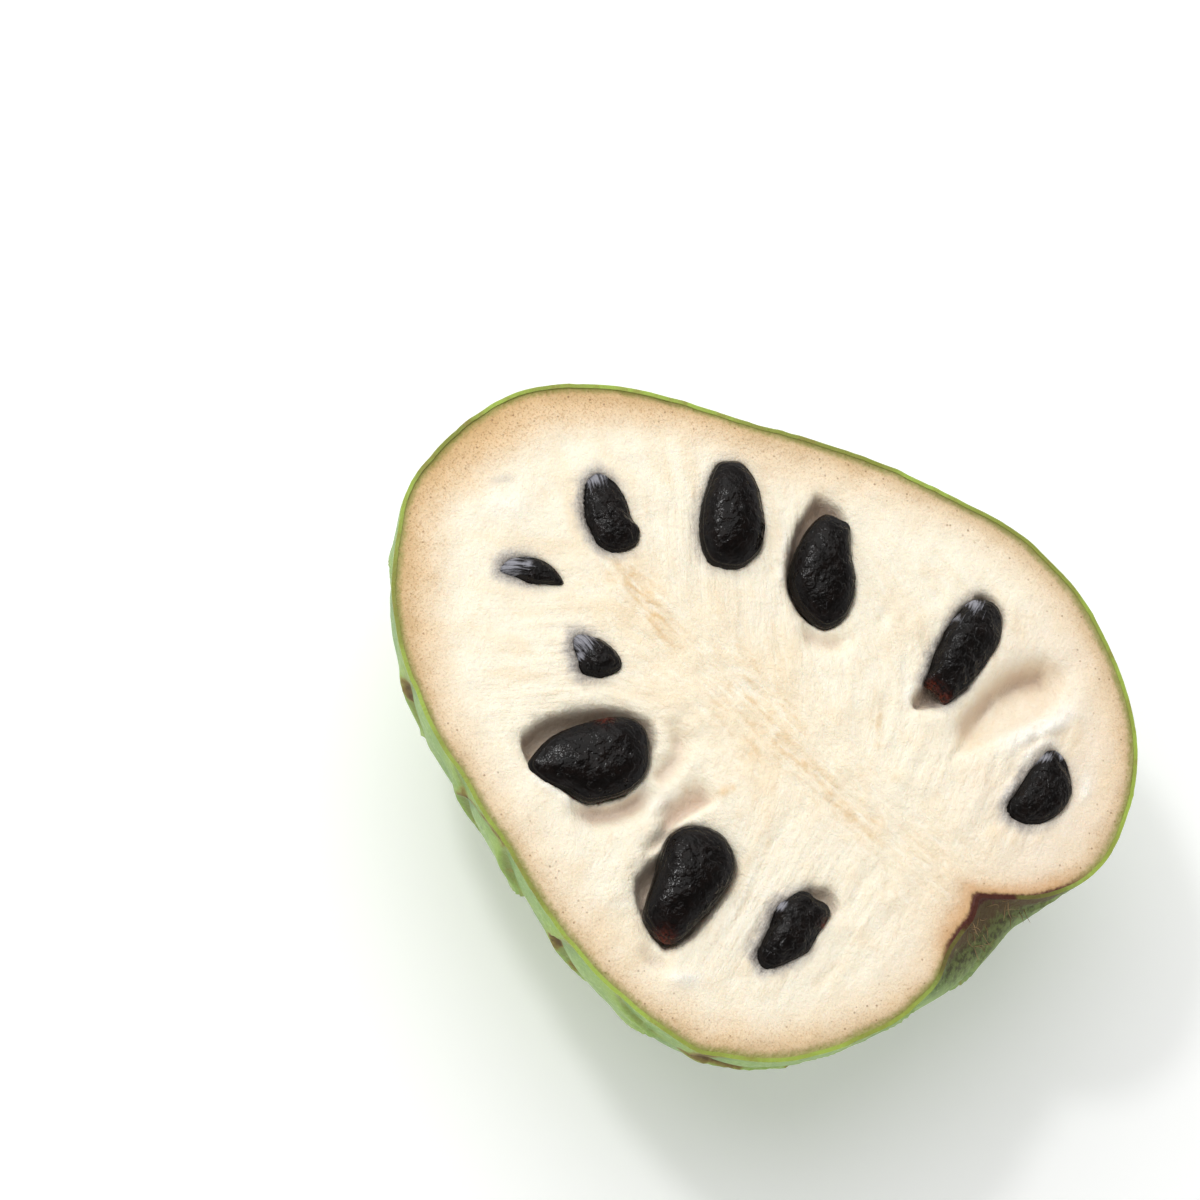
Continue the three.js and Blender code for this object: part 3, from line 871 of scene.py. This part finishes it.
# Partly paler flesh and partly painted sheen: the wet raised ridges are painted near white.
cream = finish.mix(wet_and_sheen_mask * 0.6, cream, srgb(252, 248, 238))
smoke = halo_mask * (0.5 + hair) + (fine - 0.5) * halo_mask * 0.8
cream = finish.mix(finish.step(smoke, 0.08, 0.8) * 0.7, cream, srgb(170, 165, 162))
cream = finish.mix(finish.step(smoke, 0.55, 1.25) * 0.85, cream, srgb(78, 72, 72))
# Painted shade and browning in the hollows: a brownish grey laid where the flesh sinks.
cream = finish.mix(hollow_brown_and_shade_mask * 0.8, cream, srgb(206, 180, 160))
fringe = finish.noted("stem_fringe")
cream = finish.mix(
    fringe * finish.step(rim_mm + (grit - 0.5) * 2, 5.5, 0.5) * 0.7, cream, srgb(216, 168, 118))
cream = finish.mix(
    fringe * finish.step(rim_mm + (grit - 0.5) * 1.0, 1.2, 0.4), cream, srgb(84, 36, 24))
height = fine * 0.35 + grit * 0.8 + patch * 0.6 + hair * fibrous * 1.1
flesh.data.materials.append(finish.surface(
    Base_Color=cream, Roughness=0.46 - wet_and_sheen_mask * 0.28 + (grit - 0.5) * 0.25,
    Normal=finish.bump(height, 0.3),
    Subsurface_Weight=0.15, Subsurface_Radius=(1.0, 0.65, 0.4), Subsurface_Scale=0.0015,
    Specular_IOR_Level=0.4))
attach(flesh, "root")
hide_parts("half_fruit")

# ---- The seeds -------------------------------------------------------------------------------
# Flattened seeds in a hard black coat, glossy with juice: wrinkled and pitted, with a ridge
# round the edge. Torn grey film from the flesh clings to some, and some have a rust-red tip.

SEED_FULLNESS = 2.4  # 2 is a plain egg, and more is blunter
SEED_BOTTOM = 4.6  # how deep the seeds reach under the face
SEED_EQUATOR = -0.9
USUAL_WRINKLES = 0.24

# Film and rust on the seeds, about each one's middle: the place, and how far it spreads.
FILM = {
    1: [((-4.6, 1.6), 2.3)],
    2: [((-3.9, -0.9), 2.6), ((-2.0, 0.9), 1.2)],
    3: [((-2.2, 0.4), 2.5), ((-0.6, -1.6), 0.9)],
    7: [((-3.8, 6.4), 2.0), ((-4.2, 2.6), 1.0)],
    8: [((-2.9, 3.6), 1.3), ((-1.2, 6.0), 1.1)],
    10: [((-3.4, 1.8), 1.1)],
}
RUST = {
    4: [((-3.3, 5.8), 1.2)],
    7: [((0.4, -8.6), 1.2), ((2.8, -8.9), 1.2)],
    9: [((4.4, -8.6), 1.7)],
    10: [((4.0, 4.2), 0.9)],
}
# The little ring left by the seed's stalk.
RINGS = {1: (1.6, -1.6), 4: (3.2, 3.6), 5: (-0.4, 0.8), 9: (0.2, 5.8)}

finish = Finish("wet_black_coat")
wrinkle = finish.grain(1.5, 4, 0.62)
crumb = finish.grain(0.5, 2)
ripple = finish.step(finish.grain(1.7, 2), 0.44, 0.56)
pimple = finish.step(finish.specks(1.9), 0.17, 0.08) * 0.4
film_mask = finish.noted("film")
thread = finish.grain(0.45, 4, 0.7, stretch=(0.12, 1, 1), where=finish.along("long", "wide"))
veil = finish.step(film_mask * 0.8 + (thread - 0.5) * 2.2, 0.3, 0.9)
coat = finish.mix(finish.step(wrinkle, 0.4, 0.7) * 0.6, srgb(9, 6, 5), srgb(24, 16, 13))
coat = finish.mix(finish.noted("rust") * finish.step(crumb, 0.3, 0.7), coat, srgb(96, 36, 20))
coat = finish.mix(veil * 0.8, coat, srgb(158, 158, 166))
seed_finish = finish.surface(
    Base_Color=coat, Roughness=0.05 + wrinkle * 0.08 + veil * 0.35,
    Normal=finish.bump(
        (wrinkle * 0.7 + crumb * 0.3 + ripple * 0.3) * finish.noted("rumpled") + pimple, 0.35),
    Specular_IOR_Level=0.15)

for number, shape in SEEDS.items():
    node = f"seed_{number}"
    seed = start_mesh(
        bpy.ops.mesh.primitive_uv_sphere_add, segments=120, ring_count=84, radius=1)
    seed.name = seed.data.name = f"seed_coat_{number}"
    ball = corners_of(seed)
    outline = np.array(shape["outline"])
    middle = outline.mean(0)
    flat_way = np.hypot(ball[:, 0], ball[:, 1])
    power = 2 / SEED_FULLNESS
    round_turn = ball[:, :2] / np.maximum(flat_way, 1e-6)[:, None]
    _, _, to_edge = reach_of(middle + 1e-3 * round_turn, outline)
    spread = round_turn * (to_edge * flat_way**power)[:, None]
    half_height = np.where(ball[:, 2] > 0, shape["top"] - SEED_EQUATOR, SEED_BOTTOM + SEED_EQUATOR)
    up = np.sign(ball[:, 2]) * np.abs(ball[:, 2]) ** power * half_height
    up += SEED_EQUATOR + spread @ np.array(shape["tip"]) * np.abs(ball[:, 2])
    body = on_plane(spread[:, 0] + middle[0], spread[:, 1] + middle[1], up)
    out = ball / np.linalg.norm(ball, axis=1)[:, None]
    lumps = rough(body, 4.2, 3, number * 31.0) + 0.45 * rough(body, 1.5, 3, number * 17.0)
    wrinkles = shape.get("wrinkles", USUAL_WRINKLES)
    lumps *= wrinkles
    lumps += 0.11 * bell(ball[:, 2] - 0.42, 0.05) - 0.1 * bell(ball[:, 2] - 0.34, 0.05)
    if number in RINGS:
        from_ring = np.linalg.norm(body[:, :2] - RINGS[number], axis=1)
        lumps += (0.16 * bell(from_ring - 0.75, 0.22) - 0.2 * bell(from_ring, 0.4)) * (up > 0)
    body += out * lumps[:, None]
    for name, spots in (("film", FILM), ("rust", RUST)):
        mark = np.zeros(len(body))
        for place, reach in spots.get(number, []):
            mark = np.maximum(mark, bell(np.linalg.norm(body[:, :2] - place, axis=1), reach))
        note(seed.data, name, mark)
    far = outline[np.argmax(np.linalg.norm(outline - middle, axis=1))] - middle
    long_way = far / np.linalg.norm(far)
    note(seed.data, "rumpled", np.full(len(body), wrinkles / USUAL_WRINKLES))
    note(seed.data, "long", body[:, :2] @ long_way)
    note(seed.data, "wide", body[:, :2] @ np.array([-long_way[1], long_way[0]]))
    body[:, :2] += node_middle(node)[:2]
    put(seed.data, body)
    smooth_all(seed)
    seed.data.materials.append(seed_finish)
    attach(seed, "root")
    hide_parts(node)

# ---- The table, the light and the view -------------------------------------------------------
# A plain white table that glows a little, under two round soft lights high up at the far side,
# and a view from above in which the stem end comes towards the lower right.

TABLE_WHITE = 0.96
TABLE_GLOW = 0.12

floor = start_mesh(bpy.ops.mesh.primitive_plane_add, size=6)
floor.name = floor.data.name = "table"
finish = Finish("white_table")
floor.data.materials.append(finish.surface(
    Base_Color=(TABLE_WHITE, TABLE_WHITE, TABLE_WHITE, 1), Roughness=0.6,
    Emission_Color=(1, 1, 1, 1), Emission_Strength=TABLE_GLOW))

# The room is bright low down and dimmer overhead.
world = bpy.data.worlds.new("studio")
bpy.context.scene.world = world
world.use_nodes = True
tree = world.node_tree
where = tree.nodes.new("ShaderNodeTexCoord")
split = tree.nodes.new("ShaderNodeSeparateXYZ")
level = tree.nodes.new("ShaderNodeMapRange")
level.inputs["From Min"].default_value = 0.1
level.inputs["From Max"].default_value = 0.9
level.inputs["To Min"].default_value = 1.25
level.inputs["To Max"].default_value = 0.2
tree.links.new(where.outputs["Generated"], split.inputs[0])
tree.links.new(split.outputs["Z"], level.inputs["Value"])
tree.links.new(level.outputs[0], tree.nodes["Background"].inputs["Strength"])
tree.nodes["Background"].inputs["Color"].default_value = (1, 1, 1, 1)

VIEW_DISTANCE = 0.7
VIEW_AZIMUTH = 2.64
VIEW_ELEVATION = 71.5
VIEW_ROLL = 40.0
VIEW_WIDTH = 0.1824  # what the view takes in at that distance
AIM = Vector((-0.0300, -0.0049, 0.0436))
SENSOR = 36

camera_data = bpy.data.cameras.new("view")
camera = bpy.data.objects.new("view", camera_data)
bpy.context.collection.objects.link(camera)
bpy.context.scene.camera = camera
camera_data.sensor_width = SENSOR
camera_data.lens = SENSOR * VIEW_DISTANCE / VIEW_WIDTH
azimuth, elevation = math.radians(VIEW_AZIMUTH), math.radians(VIEW_ELEVATION)
back = Vector((
    math.sin(azimuth) * math.cos(elevation),
    -math.cos(azimuth) * math.cos(elevation),
    math.sin(elevation),
))
camera.matrix_world = (
    Matrix.Translation(AIM + back * VIEW_DISTANCE)
    @ back.to_track_quat("Z", "Y").to_matrix().to_4x4()
    @ Matrix.Rotation(math.radians(VIEW_ROLL), 4, "Z")
)


def soft_light(name, to_light, distance, size, power):
    """A round soft light; to_light is its direction seen from the camera: right, up, back."""
    data = bpy.data.lights.new(name, "AREA")
    data.shape = "DISK"
    data.size = size
    data.energy = power
    light = bpy.data.objects.new(name, data)
    bpy.context.collection.objects.link(light)
    aim = Vector((0, 0, face_height * MM))
    way = camera.matrix_world.to_3x3() @ Vector(to_light).normalized()
    light.matrix_world = (
        Matrix.Translation(aim + way * distance) @ way.to_track_quat("Z", "Y").to_matrix().to_4x4()
    )


soft_light("main_light", (-0.28, 0.68, 0.85), 0.9, 0.11, 1.7)
soft_light("wide_light", (-0.08, 0.7, 0.78), 1.0, 1.2, 6.4)

bpy.context.scene.view_settings.view_transform = "Standard"
